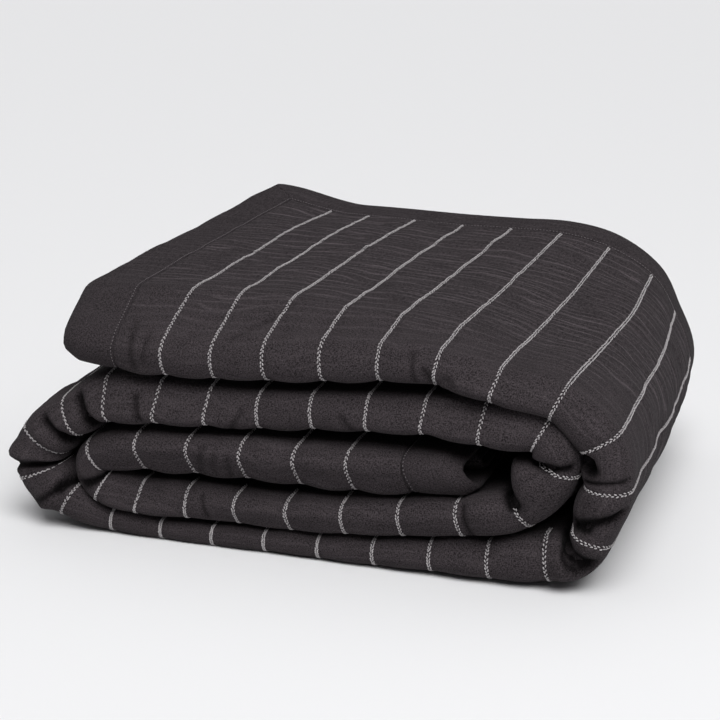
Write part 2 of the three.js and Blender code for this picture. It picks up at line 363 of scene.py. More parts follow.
# Places where the whole cloth is pressed in, or stands out, by a few millimetres round a flat place
Press = namedtuple("Press", "along across reach_along reach_across out")
PRESSES = in_metres(Press, (
    (362, 493, 12, 11, -7),
    (388, 490, 9, 9, 2.5),
    (516, 500, 16, 16, -16),
    (560, 484, 20, 20, 2.5),
    (603, 486, 12, 22, 5),
    (636, 482, 12, 18, 4),
    (1128, 492, 18, 20, 3.5),
    (1169, 474, 18, 40, 5),
    (1121, 478, 15, 34, 5),
    (1212, 486, 16, 22, 4),
    (1260, 482, 13, 20, 3),
    (1608, 510, 18, 16, -6),
    (1500, 512, 14, 14, -3),
    (1720, 488, 18, 26, 3),
    (1774, 520, 28, 50, 15),
    (1404, 513, 16, 20, -5),
    (1826, 488, 20, 22, 3),
    (2190, 490, 12, 18, 2),
))

# Half the border's thickness at distances from its free edge
Profile = namedtuple("Profile", "inset half")
BORDER_PROFILE = [
    Profile(0, 1.6 * MM),
    Profile(1.5 * MM, 3.0 * MM),
    Profile(5 * MM, 3.8 * MM),
    Profile(25 * MM, 4.2 * MM),
    Profile(43 * MM, 3.8 * MM),
    Profile(46.5 * MM, 2.9 * MM),
    Profile(BORDER_WIDTH - SEWN_GAP / 2, 2.7 * MM),
]
# Steps across a border, and the length of those along a side border
BORDER_STEPS = 12
BORDER_LENGTH_STEP = 6 * MM
# Each border's node, whether it is a side border, and whether it lies at the cloth's far edge
Border = namedtuple("Border", "node side far")
BORDERS = [
    Border("border_side_top", True, False),
    Border("border_side_under", True, True),
    Border("border_end_outer", False, False),
    Border("border_end_inner", False, True),
]

# Where the front folds' undersides lie across the flat cloth, how far the sag reaches, and how
# much it differs from place to place
UNDERSIDE = 512 * MM
UNDERSIDE_REACH = 30 * MM
SLACK = Waves(40 * MM, 200 * MM, 31)
SLACK_MIDDLE = 0.8
SLACK_SWING = 0.7

# Where the stripes' stitches show: the stripes from first to last, over these places across
Run = namedtuple("Run", "first last across_from across_to")
FRONT_RUNS = [
    Run(1, 12, 52 * MM, FRONT_END),
    Run(13, 49, 405 * MM, FRONT_END),
]
BACK_RUNS = [
    Run(21, 25, 52 * MM, 405 * MM),
    Run(13, 20, 52 * MM, 70 * MM),
    Run(26, 49, 52 * MM, 70 * MM),
    Run(1, 49, 935 * MM, 990 * MM),
]
# A stripe has two columns of stitches, this far from its middle, that slant against each other
COLUMN_OFFSET = 0.85 * MM
STITCH_SLANT = 0.36
STRIPE_THREAD = 1.35 * MM
STRIPE_STITCH_LIFT = 0.4 * MM
# How uneven the stitches are, in their places along and across and in their slant
UNEVEN_ALONG = 0.16 * MM
UNEVEN_ACROSS = 0.3 * MM
UNEVEN_SLANT = 0.1
# The hem's stitches, and the distance from the border's edge at which their height is read
HEM_LINE = 47 * MM
HEM_HEIGHT_INSET = 46.5 * MM
HEM_STITCH = 2.0 * MM
HEM_THREAD = 0.9 * MM
HEM_STITCH_LIFT = 0.1 * MM
# A stitch is a rounded bead with this many sides and rings
BEAD_SIDES = 6
BEAD_RINGS = 3
# The step over the cloth from which a stitch's directions are taken
STITCH_STEP = 0.5 * MM

# The cloth's grain: grains to the metre along and across, its detail and its weight in the colour
Grain = namedtuple("Grain", "along across detail weight")
THREADS = [
    Grain(420, 1500, 3, 1.9),
    Grain(1500, 420, 3, 1.9),
    Grain(1000, 1000, 3, 2.4),
]
MOTTLING = Grain(45, 45, 3, 0.4)
# This grain lies only on the top, behind the front folds
TOP_GRAIN = Grain(420, 150, 2, 1.3)
# The mean of the grain's noise
NOISE_MIDDLE = 0.5
# The least brightness that the grain leaves, and how much of the colour the painted shade in a crease
# takes away
LEAST_BRIGHTNESS = 0.25
CREASE_DARKNESS = 0.9
# Across the flat cloth, the top's grain and fold lines fade from here to here, to this share
TOP_FADE_START = 350 * MM
TOP_FADE_END = 460 * MM
FRONT_FOLD_SHARE = 0.2

# The fine fold lines: their spacing, and how quickly they drift along and across the cloth
Lines = namedtuple("Lines", "spacing along across")
CLOSE_LINES = Lines(10 * MM, 8, 18)
WIDE_LINES = Lines(17 * MM, 12, 12)
# How far lines arch between two stripes, how far they drift, as an angle of their wave, and how
# sharp their crests are
LINE_ARCH = 3 * MM
LINE_DRIFT = 14
LINE_SHARPNESS = 4
# Lines fade in between these values of a noise that is this much quicker than their drift
FADE_LOW = 0.32
FADE_HIGH = 0.6
FADE_QUICKNESS = 1.7
# How much painted highlight a fold line's crest puts on the cloth's colour, and how much all of the top
# is darkened to make up for it
LINE_HIGHLIGHT = 1.25
LINE_HIGHLIGHT_OFFSET = -0.03

# Rough cloth: its least roughness, and what the weave adds
CLOTH_ROUGHNESS = 0.78
WEAVE_ROUGHNESS = 0.07
CLOTH_SPECULAR = 0.04
CLOTH_SHEEN = 0.014
SHEEN_ROUGHNESS = 0.5
# How deep and how strong the surface's finest unevenness is
Bump = namedtuple("Bump", "distance strength")
FOLD_BUMP = Bump(2 * MM, 0.9)
WEAVE_BUMP = Bump(0.5 * MM, 0.7)
TWIST_BUMP = Bump(0.2 * MM, 0.5)
# The strength of the grain and of the fold lines, with their painted highlights, on the borders
BORDER_MOTTLE = 0.9
BORDER_CRINKLE = 0.25
# Thread: its twist to the metre, between which values of the twist's noise it lightens, the shade
# between strands, and how rough and downy it is
TWIST = 1400
TWIST_DETAIL = 2
TWIST_DARK = 0.3
TWIST_LIGHT = 0.7
TWIST_SHADE = 0.33
THREAD_ROUGHNESS = 0.6
THREAD_SHEEN = 0.05

# The camera
CAMERA_PLACE = (0.576, -1.630, 0.597)
CAMERA_AZIMUTH = math.radians(20.25)
CAMERA_ELEVATION = math.radians(15.25)
CAMERA_LENS = 93.5
CAMERA_SENSOR = 36
CAMERA_REACH = 100

# The floor's side and finish, and the even light from all round
FLOOR_SIZE = 120
FLOOR_ROUGHNESS = 0.9
FLOOR_SPECULAR = 0.1
ROOM_COLOUR = (0.97, 0.97, 1.0, 1)
ROOM_LIGHT = 0.11
# The suns: where each stands, how wide it looks and its power
Sun = namedtuple("Sun", "name direction spread power")
SUNS = [
    Sun("key_light", (0.34, -0.62, 1.0), math.radians(40), 2.42),
    Sun("top_light", (0.1, 0.1, 1.0), math.radians(100), 0.85),
]
SUN_DISTANCE = 3
# A large soft light at the front right, which brightens the floor towards the camera
FRONT_LIGHT_SIZE = 1.2
FRONT_LIGHT_POWER = 12
FRONT_LIGHT_PLACE = (1.2, -1.6, 1.8)
FRONT_LIGHT_DIRECTION = (1.2, -1.2, 1.8)


# Sizes and colours that can be changed


class CoverletSizes(bpy.types.PropertyGroup):
    full: bpy.props.FloatProperty(
        name="Full thickness", description="Thickness of the cloth in the middle of a channel",
        default=9.2 * MM, unit="LENGTH")
    drawn: bpy.props.FloatProperty(
        name="Drawn-in thickness", description="Thickness of the cloth where stitching draws it in",
        default=5.6 * MM, unit="LENGTH")
    wrinkle: bpy.props.FloatProperty(
        name="Wrinkle depth", description="Depth of the fine wrinkles that cross the stripes",
        default=2.2 * MM, unit="LENGTH")
    sway: bpy.props.FloatProperty(
        name="Sway", description="How far the folded strip wanders out of its smooth course",
        default=1.5 * MM, unit="LENGTH")
    sag: bpy.props.FloatProperty(
        name="Sag", description="How far the front folds hang down between the stripes",
        default=2.5 * MM, unit="LENGTH")
    stitch_length: bpy.props.FloatProperty(
        name="Stripe stitch length", description="Length of one slanting stitch of a stripe",
        default=3.2 * MM, unit="LENGTH")
    stitch_pitch: bpy.props.FloatProperty(
        name="Stripe stitch pitch", description="Distance from one stitch of a stripe to the next",
        default=3.3 * MM, unit="LENGTH")
    hem_pitch: bpy.props.FloatProperty(
        name="Hem stitch pitch", description="Distance from one stitch of a hem to the next",
        default=3.2 * MM, unit="LENGTH")


class CoverletColours(bpy.types.PropertyGroup):
    cloth: bpy.props.FloatVectorProperty(
        name="Cloth", description="Colour of the quilted cloth", subtype="COLOR", size=3,
        min=0, max=1, default=(0.0355, 0.0300, 0.0325))
    border: bpy.props.FloatVectorProperty(
        name="Border", description="Colour of the plain border", subtype="COLOR", size=3,
        min=0, max=1, default=(0.0325, 0.0275, 0.0298))
    stripe: bpy.props.FloatVectorProperty(
        name="Stripe thread", description="Colour of the light stitches of the stripes",
        subtype="COLOR", size=3, min=0, max=1, default=(0.52, 0.49, 0.50))
    hem: bpy.props.FloatVectorProperty(
        name="Hem thread", description="Colour of the stitches along the hems", subtype="COLOR",
        size=3, min=0, max=1, default=(0.16, 0.14, 0.15))
    floor: bpy.props.FloatVectorProperty(
        name="Floor", description="Colour of the pale floor", subtype="COLOR", size=3,
        min=0, max=1, default=(0.80, 0.80, 0.81))


def sizes():
    return bpy.context.scene.coverlet_sizes


def colours():
    return bpy.context.scene.coverlet_colours


# The folds


def smooth_step(share):
    s = np.clip(share, 0, 1)
    return s * s * (3 - 2 * s)


def smooth_curve(keys, values, at):
    """A smooth curve through the values at rising keys."""
    keys = np.asarray(keys, float)
    values = np.asarray(values, float)
    rows = np.arange(len(keys))
    before = np.maximum(rows - 1, 0)
    after = np.minimum(rows + 1, len(keys) - 1)
    slopes = (values[after] - values[before]) / (keys[after] - keys[before])
    row = np.clip(np.searchsorted(keys, at, side="right") - 1, 0, len(keys) - 2)
    span = keys[row + 1] - keys[row]
    t = (at - keys[row]) / span
    start = (2 * t**3 - 3 * t**2 + 1) * values[row] + (t**3 - 2 * t**2 + t) * slopes[row] * span
    end = (3 * t**2 - 2 * t**3) * values[row + 1] + (t**3 - t**2) * slopes[row + 1] * span
    return start + end


def table_value(rows, column, at):
    """One column of a table, as a smooth curve over its first column."""
    return smooth_curve([row[0] for row in rows], [getattr(row, column) for row in rows], at)


def at_least(low, share):
    """A share, raised so that 0 gives low and 1 stays 1."""
    return low + (1 - low) * share


def strip_middle(along, share):
    """The strip's middle (x, z) and its thickness, at a share of the bundle's depth."""
    early = table_value(RISES, "rise", share)
    late = share ** LATE_RISE_POWER
    early_share = np.clip((LATE_RISE_START - along) / (LATE_RISE_START - EARLY_RISE_END), 0, 1)
    top = late + (early - late) * early_share
    even = np.sin(math.pi / 2 * np.clip(share / RISE_SHARE, 0, 1))
    even_share = smooth_step((along - EVEN_RISE_START) / (EVEN_RISE_FULL - EVEN_RISE_START))
    rise = top + (even - top) * even_share
    right = (smooth_step((along - RIGHT_BEND_START) / RIGHT_BEND_FADE)
             * smooth_step((RIGHT_BEND_END - along) / RIGHT_BEND_FADE))
    draw_in = smooth_step((share - DRAW_IN_START) / (1 - DRAW_IN_START))
    draw_in = draw_in + (share - draw_in) * right * RIGHT_BEND_EVENNESS
    near_end = smooth_step(1 - along / CORNER_REACH)
    near_back = smooth_step(1 - (1 - share) * STRIP_DEPTH / CORNER_REACH)
    front_x, front_z, front_thick, back_x, back_z, back_thick = [
        table_value(COURSE, column, along) for column in Course._fields[1:]]
    x = front_x + (back_x - front_x) * draw_in
    z = front_z + (back_z - front_z) * rise
    thick = front_thick + (back_thick - front_thick) * rise
    x = x + near_end * table_value(OPEN_END, "x", share)
    z = z + near_end * table_value(OPEN_END, "z", share)
    end = np.minimum(along, CLOTH_LENGTH - along)
    thick = thick * (1 - (1 - END_PINCH) * smooth_step(1 - end / END_PINCH_REACH))
    return x, z + CORNER_LIFT * near_end * near_back, thick


def strip_sway(along, y):
    """How far all plies of the strip stand out together, so that the stripes wander a little."""
    behind = y - FRONT + SWAY_START
    slow = cloth_noise(along, behind, SLOW_SWAY)
    return sizes().sway * (slow + QUICK_SHARE * cloth_noise(along, behind, QUICK_SWAY))


def place_in_roll(along, y, level):
    """Points of the rolled strip, from places along the cloth and in the strip's section."""
    behind = y - FRONT
    share = np.clip(behind / STRIP_DEPTH, 0, 1)
    x, z, thick = strip_middle(along, share)
    before = strip_middle(np.maximum(along - COURSE_STEP, 0), share)
    after = strip_middle(np.minimum(along + COURSE_STEP, CLOTH_LENGTH), share)
    run_x = after[0] - before[0]
    run_z = after[1] - before[1]
    run = np.hypot(run_x, run_z)
    upright = run_x / run
    offset = level * thick / STRIP_THICKNESS + strip_sway(along, y)
    slant = INNER_END_SLANT * smooth_step(1 - (CLOTH_LENGTH - along) / INNER_END_REACH)
    x = x - run_z / run * offset - slant * offset
    z = z + upright * offset
    flatter = np.maximum(FOLD_DEPTH - behind, 0) * (1 - np.minimum(thick / STRIP_THICKNESS, 1))
    lean = table_value(FRONTS, "lean", along) * upright
    forward = lean * np.sin(math.pi / 2 * np.clip(level / LEAN_LEVEL, -1, 1))
    stand_back = table_value(FRONTS, "back", along) - forward
    y = y + flatter + stand_back * smooth_step(1 - behind / LEAN_DEPTH)
    return np.stack([x, y, z], axis=-1)


def section_lines():
    """The section as close stations: distance across the flat cloth, y, level and facing."""
    behind, level = np.transpose(SECTION)
    chord = np.concatenate([[0], np.cumsum(np.hypot(np.diff(behind), np.diff(level)))])
    stations = np.linspace(0, chord[-1], SECTION_STATIONS)
    y = FRONT + smooth_curve(chord, behind, stations)
    height = smooth_curve(chord, level, stations)
    run = np.concatenate([[0], np.cumsum(np.hypot(np.diff(y), np.diff(height)))])
    across = run * CLOTH_WIDTH / run[-1]
    slope_y = np.gradient(y, across)
    slope_level = np.gradient(height, across)
    length = np.hypot(slope_y, slope_level)
    return across, y, height, slope_level / length, -slope_y / length


SECTION_ACROSS, SECTION_Y, SECTION_LEVEL, SECTION_FACE_Y, SECTION_FACE_LEVEL = section_lines()


def cloth_point(along, across, lift):
    """Where flat places of the cloth lie; lift is the height on the right side of its middle."""
    y = np.interp(across, SECTION_ACROSS, SECTION_Y)
    level = np.interp(across, SECTION_ACROSS, SECTION_LEVEL)
    face_y = np.interp(across, SECTION_ACROSS, SECTION_FACE_Y)
    face_level = np.interp(across, SECTION_ACROSS, SECTION_FACE_LEVEL)
    point = place_in_roll(along, y + face_y * lift, level + face_level * lift)
    point[..., 2] = np.maximum(point[..., 2], 0)
    return point


# The cloth's surface


def cloth_noise(along, across, waves):
    """Smooth seeded noise from -1 to 1 over the flat cloth."""
    rows = int(CLOTH_LENGTH / waves.along) + SPARE_CELLS
    columns = int(CLOTH_WIDTH / waves.across) + SPARE_CELLS
    lattice = np.random.default_rng(waves.seed).uniform(-1, 1, (rows, columns))
    i = np.clip(along / waves.along, 0, rows - 2)
    j = np.clip(across / waves.across, 0, columns - 2)
    i_low = i.astype(int)
    j_low = j.astype(int)
    s = smooth_step(i - i_low)
    t = smooth_step(j - j_low)
    near = lattice[i_low, j_low] * (1 - t) + lattice[i_low, j_low + 1] * t
    far = lattice[i_low + 1, j_low] * (1 - t) + lattice[i_low + 1, j_low + 1] * t
    return near * (1 - s) + far * s


def channel_fullness(along):
    """0 at a stripe and 1 in the middle of a channel."""
    place = ((along - BORDER_WIDTH) / STRIPE_SPACING) % 1
    return np.sin(math.pi * place) ** CHANNEL_POWER


def inside_seams(across):
    """0 at the panel's side seams and 1 further in."""
    edge = np.minimum(across - BORDER_WIDTH, CLOTH_WIDTH - BORDER_WIDTH - across)
    return smooth_step(edge / SEAM_FADE)


def panel_half(along, across):
    """Half the panel's thickness at flat places."""
    fullness = channel_fullness(along) * inside_seams(across)
    return (sizes().drawn + (sizes().full - sizes().drawn) * fullness) / 2


def shown(along, across):
    """1 where the right side shows, falling to 0 where other layers cover it."""
    cover = 0
    for patch in PATCHES:
        beyond = np.maximum.reduce([patch.along_from - along, along - patch.along_to,
                                    patch.across_from - across, across - patch.across_to])
        cover = np.maximum(cover, smooth_step(1 - beyond / SHOWN_FADE))
    return cover


def wrinkles(along, across):
    """Soft wrinkles that run across the stripes, stronger in some places than in others."""
    bent = across + BEND_REACH * cloth_noise(along, across, BENDS)
    long = np.exp(-(cloth_noise(along, bent, LONG_CRESTS) / CREST_WIDTH) ** 2)
    short = np.exp(-(cloth_noise(along, bent, SHORT_CRESTS) / CREST_WIDTH) ** 2)
    where = smooth_step(STRENGTH_MIDDLE + STRENGTH_SWING * cloth_noise(along, across, STRENGTH))
    deep = smooth_step((WRINKLES_END - across) / WRINKLES_FADE)
    crests = LONG_SHARE * long + (1 - LONG_SHARE) * short
    shape = crests * at_least(LEAST_WRINKLE, where) * at_least(LEAST_WRINKLE, deep)
    shape = shape + DENT_SHARE * cloth_noise(along, across, DENTS)
    height = sizes().wrinkle * shape * shown(along, across)
    return height * at_least(STRIPE_WRINKLE, channel_fullness(along))


def creases(along, across):
    """The depth of the creases, as heights below the right side."""
    depth = 0
    for crease in CREASES:
        run_along = crease.along_to - crease.along
        run_across = crease.across_to - crease.across
        from_along = along - crease.along
        from_across = across - crease.across
        part = (from_along * run_along + from_across * run_across) / (run_along**2 + run_across**2)
        part = np.clip(part, 0, 1)
        far = np.hypot(from_along - part * run_along, from_across - part * run_across)
        depth = depth - crease.depth * np.exp(-(far / crease.width) ** 2)
    return depth


def add_crease_shade(piece, along, across):
    """Stores how far each place lies in a crease, from 0 to 1, which the material paints as shade."""
    layer = piece.data.attributes.new("crease_shade", "FLOAT", "POINT")
    depth = np.clip(-creases(along, across) / DARK_CREASE, 0, 1)
    layer.data.foreach_set("value", depth.astype(np.float32))


def presses(along, across):
    """How far the whole cloth is pressed out of its smooth folds."""
    out = 0
    for press in PRESSES:
        far = np.hypot((along - press.along) / press.reach_along,
                       (across - press.across) / press.reach_across)
        out = out + press.out * smooth_step(1 - far)
    return out


def panel_lift(along, across, right_side):
    """Height of the panel's skin on its right or wrong side, from the cloth's middle."""
    half = panel_half(along, across)
    under = smooth_step(1 - np.abs(across - UNDERSIDE) / UNDERSIDE_REACH)
    slack = SLACK_MIDDLE + SLACK_SWING * cloth_noise(along, across, SLACK)
    sag = sizes().sag * under * slack * channel_fullness(along)
    worn = sag + creases(along, across) + inside_seams(across) * wrinkles(along, across)
    return presses(along, across) + np.where(right_side, half + worn, -half)


def border_lift(along, across, inset, right_side):
    """Height of a border's skin on its right or wrong side, from the cloth's middle."""
    half = table_value(BORDER_PROFILE, "half", np.clip(inset, 0, BORDER_PROFILE[-1].inset))
    free = smooth_step(np.minimum(inset, BORDER_WIDTH - inset) / BORDER_FADE)
    worn = BORDER_WRINKLE * free * wrinkles(along, across)
    return np.where(right_side, half + worn, -half)


# Meshes


def zone_lines(low, high):
    """Lines across the plies from low to high, as close as ACROSS_ZONES says."""
    lines = []
    start = 0
    for zone in ACROSS_ZONES:
        count = max(1, round((zone.upto - start) / zone.step))
        lines.extend(start + (zone.upto - start) * i / count for i in range(count))
        start = zone.upto
    kept = [line for line in lines if low + LINE_MARGIN < line < high - LINE_MARGIN]
    return np.array([low] + kept + [high])


def flat_slab(name, first_lines, second_lines):
    """A closed flat slab over a grid of lines, with its right side up."""
    bpy.ops.mesh.primitive_grid_add(
        x_subdivisions=len(first_lines) - 1, y_subdivisions=len(second_lines) - 1, size=2)
    slab = bpy.context.active_object
    slab.name = name
    slab.data.name = name
    co = read_points(slab)
    for axis, lines in enumerate((first_lines, second_lines)):
        steps = np.rint((co[:, axis] + 1) / 2 * (len(lines) - 1)).astype(int)
        co[:, axis] = lines[steps]
    write_points(slab, co)
    solidify = slab.modifiers.new("Solidify", "SOLIDIFY")
    solidify.thickness = SLAB_THICKNESS
    solidify.offset = 0
    bpy.ops.object.modifier_apply(modifier=solidify.name)
    return slab


def read_points(piece):
    co = np.empty(3 * len(piece.data.vertices))
    piece.data.vertices.foreach_get("co", co)
    return co.reshape(-1, 3)


def write_points(piece, co):
    piece.data.vertices.foreach_set("co", np.ascontiguousarray(co, dtype=np.float32).ravel())
    piece.data.update()


def in_patch(patch, place, across):
    """Whether places, counted in channels along the cloth, are inside a patch."""
    low, high = [(along - BORDER_WIDTH) / STRIPE_SPACING for along in (patch.along_from, patch.along_to)]
    return (place > low) & (place < high) & (across > patch.across_from) & (across < patch.across_to)


def subdivide_chosen(select_mode, elements, chosen, cuts):
    """Subdivides the faces or edges of the active mesh that are chosen."""
    bpy.context.tool_settings.mesh_select_mode = select_mode
    bpy.ops.object.mode_set(mode="EDIT")
    bpy.ops.mesh.select_all(action="DESELECT")
    bpy.ops.object.mode_set(mode="OBJECT")
    elements.foreach_set("select", chosen)
    bpy.ops.object.mode_set(mode="EDIT")
    bpy.ops.mesh.subdivide(number_cuts=cuts)
    bpy.ops.object.mode_set(mode="OBJECT")


def cut_patch(slab, patch):
    """Subdivides the right-side faces whose middles are inside a patch."""
    faces = slab.data.polygons
    middles = np.empty(3 * len(faces))
    normals = np.empty(3 * len(faces))
    faces.foreach_get("center", middles)
    faces.foreach_get("normal", normals)
    middles = middles.reshape(-1, 3)
    chosen = (normals[2::3] > FACING_UP) & in_patch(patch, middles[:, 0], middles[:, 1])
    subdivide_chosen((False, False, True), faces, chosen, patch.cuts)


def cut_along(slab, patch):
    """Cuts the right-side edges that run along the cloth inside a patch."""
    co = read_points(slab)
    edges = slab.data.edges
    ends = np.empty(2 * len(edges), dtype=np.int32)
    edges.foreach_get("vertices", ends)
    first, second = co[ends.reshape(-1, 2)].transpose(1, 0, 2)
    level = np.abs(first[:, 1] - second[:, 1]) < SAME_LINE
    up = np.minimum(first[:, 2], second[:, 2]) > 0
    chosen = level & up & in_patch(patch, (first[:, 0] + second[:, 0]) / 2, first[:, 1])
    subdivide_chosen((False, True, False), edges, chosen, patch.cuts)


def add_flat_map(piece, along, across):
    """A UV map of the flat cloth, in metres."""
    layer = piece.data.uv_layers.new(name="flat")
    corners = np.empty(len(piece.data.loops), dtype=np.int32)
    piece.data.loops.foreach_get("vertex_index", corners)
    flat = np.stack([along[corners], across[corners]], axis=-1)
    layer.data.foreach_set("uv", flat.astype(np.float32).ravel())


def finish_cloth(piece, node, material):
    piece.data.shade_smooth()
    piece.data.materials.clear()
    piece.data.materials.append(material)
    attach(piece, "root")
    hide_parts(node)


def channel_to_along(place):
    """Distance along the cloth of a place counted in channels, crowded towards the stripes."""
    whole = np.minimum(np.floor(place), CHANNELS - 1)
    part = place - whole
    eased = (1 - np.cos(math.pi * part)) / 2
    part = part + (eased - part) * CHANNEL_CROWDING
    along = BORDER_WIDTH + (whole + part) * STRIPE_SPACING
    gap = SEWN_GAP / 2
    return np.clip(along, BORDER_WIDTH + gap, CLOTH_LENGTH - BORDER_WIDTH - gap)


def build_panel():
    """The quilted panel, with closer points where its right side shows."""
    gap = SEWN_GAP / 2
    places = np.linspace(0, CHANNELS, CHANNELS * CHANNEL_STEPS + 1)
    lines = zone_lines(BORDER_WIDTH + gap, CLOTH_WIDTH - BORDER_WIDTH - gap)
    panel = flat_slab("quilted_panel_cloth", places, lines)
    for patch in PATCHES:
        cut_patch(panel, patch)
    cut_along(panel, FOLD_PATCH)
    co = read_points(panel)
    along = channel_to_along(co[:, 0])
    across = co[:, 1]
    write_points(panel, cloth_point(along, across, panel_lift(along, across, co[:, 2] > 0)))
    add_flat_map(panel, along, across)
    add_crease_shade(panel, along, across)
    return panel


def build_border(name, side, far):
    """One border, mitred at its corners and laid on the folds."""
    insets = np.linspace(0, BORDER_WIDTH - SEWN_GAP / 2, BORDER_STEPS + 1)
    if side:
        steps = round(CLOTH_LENGTH / BORDER_LENGTH_STEP)
        border = flat_slab(name, np.linspace(0, CLOTH_LENGTH, steps + 1), insets)
        co = read_points(border)
        inset = co[:, 1]
        mitre = inset + MITRE_GAP
        along = np.clip(co[:, 0], mitre, CLOTH_LENGTH - mitre)
        across = CLOTH_WIDTH - inset if far else inset
    else:
        border = flat_slab(name, insets, zone_lines(0, CLOTH_WIDTH))
        co = read_points(border)
        inset = co[:, 0]
        across = np.clip(co[:, 1], inset, CLOTH_WIDTH - inset)
        along = CLOTH_LENGTH - inset if far else inset
    lift = border_lift(along, across, inset, co[:, 2] > 0)
    write_points(border, cloth_point(along, across, lift))
    add_flat_map(border, along, across)
    if far:
        border.data.flip_normals()
    return border


# Stitches


def surface_frames(along, across, lift):
    """Points on the cloth's right side, with unit directions along, across and outwards."""
    step = STITCH_STEP
    side = unit(cloth_point(along + step, across, lift) - cloth_point(along - step, across, lift))
    down = unit(cloth_point(along, across + step, lift) - cloth_point(along, across - step, lift))
    return cloth_point(along, across, lift), side, down, unit(np.cross(side, down))


def unit(vectors):
    return vectors / np.linalg.norm(vectors, axis=-1, keepdims=True)


def bead(name, length, thickness):
    """One stitch: a small rounded bead that lies along its own X."""
    bpy.ops.mesh.primitive_uv_sphere_add(segments=BEAD_SIDES, ring_count=BEAD_RINGS, radius=1 / 2)
    stitch = bpy.context.active_object
    stitch.name = name
    bpy.ops.object.mode_set(mode="EDIT")
    bpy.ops.mesh.select_all(action="SELECT")
    bpy.ops.transform.resize(value=(thickness, thickness, length))
    bpy.ops.object.mode_set(mode="OBJECT")
    co = read_points(stitch)
    write_points(stitch, co[:, [2, 0, 1]])
    return stitch


def sew(name, stitch, point, heading, outward, material):
    """Copies the stitch to every point, lying along its heading, as one piece."""
    sideways = unit(np.cross(outward, heading))
    co = read_points(stitch)
    placed = (point[:, None, :] + co[None, :, 0:1] * heading[:, None, :]
              + co[None, :, 1:2] * sideways[:, None, :] + co[None, :, 2:3] * outward[:, None, :])
    corners = [tuple(face.vertices) for face in stitch.data.polygons]
    faces = [tuple(k * len(co) + v for v in face) for k in range(len(point)) for face in corners]
    mesh = bpy.data.meshes.new(name)
    mesh.from_pydata(placed.reshape(-1, 3).tolist(), [], faces, shade_flat=False)
    mesh.update()
    piece = bpy.data.objects.new(name, mesh)
    bpy.context.scene.collection.objects.link(piece)
    bpy.data.objects.remove(stitch)
    mesh.materials.append(material)
    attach(piece, "root")


def stripe_places(runs):
    """Flat places of the stripes' stitches, and the side of the stripe that each is on."""
    columns = []
    pitch = sizes().stitch_pitch
    for run in runs:
        places = np.arange(run.across_from, run.across_to, pitch)
        for stripe in range(run.first, run.last + 1):
            middle = BORDER_WIDTH + stripe * STRIPE_SPACING
            for side in (-1, 1):
                across = places + (pitch / 2 if side > 0 else 0)
                along = np.full(len(places), middle + side * COLUMN_OFFSET)
                columns.append([along, across, np.full(len(places), side)])
    return np.concatenate(columns, axis=1)


def sew_stripes(name, runs, material):
    """Slanting stitches in two columns along each stripe of the runs."""
    along, across, side = stripe_places(runs)
    uneven = np.random.default_rng(len(along)).normal(0, 1, (3, len(along)))
    along = along + UNEVEN_ALONG * uneven[0]
    across = across + UNEVEN_ACROSS * uneven[1]
    lift = panel_lift(along, across, True) + STRIPE_STITCH_LIFT
    point, sideways, down, outward = surface_frames(along, across, lift)
    slant = side * (STITCH_SLANT + UNEVEN_SLANT * uneven[2])
    heading = unit(down + slant[:, None] * sideways)
    stitch = bead("stripe_stitch", sizes().stitch_length, STRIPE_THREAD)
    sew(name, stitch, point, heading, outward, material)


def sew_hem(name, along, across, turned, material):
    """Stitches along a border's seam, on the right side of the border."""
    inset = np.full(len(along), HEM_HEIGHT_INSET)
    lift = border_lift(along, across, inset, True) + HEM_STITCH_LIFT
    point, sideways, down, outward = surface_frames(along, across, lift)
    stitch = bead("hem_stitch", HEM_STITCH, HEM_THREAD)
    heading = down if turned else sideways
    sew(name, stitch, point, heading, outward, material)


# Materials


def new_group(name, inputs, outputs):
    group = bpy.data.node_groups.new(name, "ShaderNodeTree")
    for label, kind, default in inputs:
        socket = group.interface.new_socket(name=label, in_out="INPUT", socket_type=kind)
        socket.default_value = default
    for label, kind in outputs:
        group.interface.new_socket(name=label, in_out="OUTPUT", socket_type=kind)
    return group, group.nodes.new("NodeGroupInput"), group.nodes.new("NodeGroupOutput")


def link(tree, source, target):
    tree.links.new(source, target)


def new_node(tree, kind, inputs):
    """A new node, each of whose inputs is a value or comes from another node."""
    node = tree.nodes.new(kind)
    for key, value in inputs.items():
        if isinstance(value, bpy.types.NodeSocket):
            link(tree, value, node.inputs[key])
        else:
            node.inputs[key].default_value = value
    return node


def math_node(tree, operation, first, second):
    node = new_node(tree, "ShaderNodeMath", {0: first, 1: second})
    node.operation = operation
    return node.outputs[0]


def stretched_noise(tree, place, along, across, detail):
    """Noise over the flat cloth, with so many grains to the metre along and across it."""
    mapping = new_node(tree, "ShaderNodeMapping", {"Vector": place, "Scale": (along, across, 1)})
    noise = new_node(tree, "ShaderNodeTexNoise", {
        "Vector": mapping.outputs["Vector"], "Scale": 1, "Detail": detail})
    noise.noise_dimensions = "2D"
    return noise.outputs["Fac"]


def grain_noise(tree, place, grain):
    return stretched_noise(tree, place, grain.along, grain.across, grain.detail)


def mixed(tree, *parts):
    """The sum of parts, each a value and its share."""
    total = None
    for value, share in parts:
        scaled = math_node(tree, "MULTIPLY", value, share)
        total = scaled if total is None else math_node(tree, "ADD", total, scaled)
    return total


def separated(tree, place):
    return new_node(tree, "ShaderNodeSeparateXYZ", {0: place}).outputs


def ranged(tree, value, low, high, at_low, at_high):
    """A value from low to high, as one from at_low to at_high."""
    ramp = new_node(tree, "ShaderNodeMapRange", {
        "Value": value, "From Min": low, "From Max": high, "To Min": at_low, "To Max": at_high})
    return ramp.outputs["Result"]


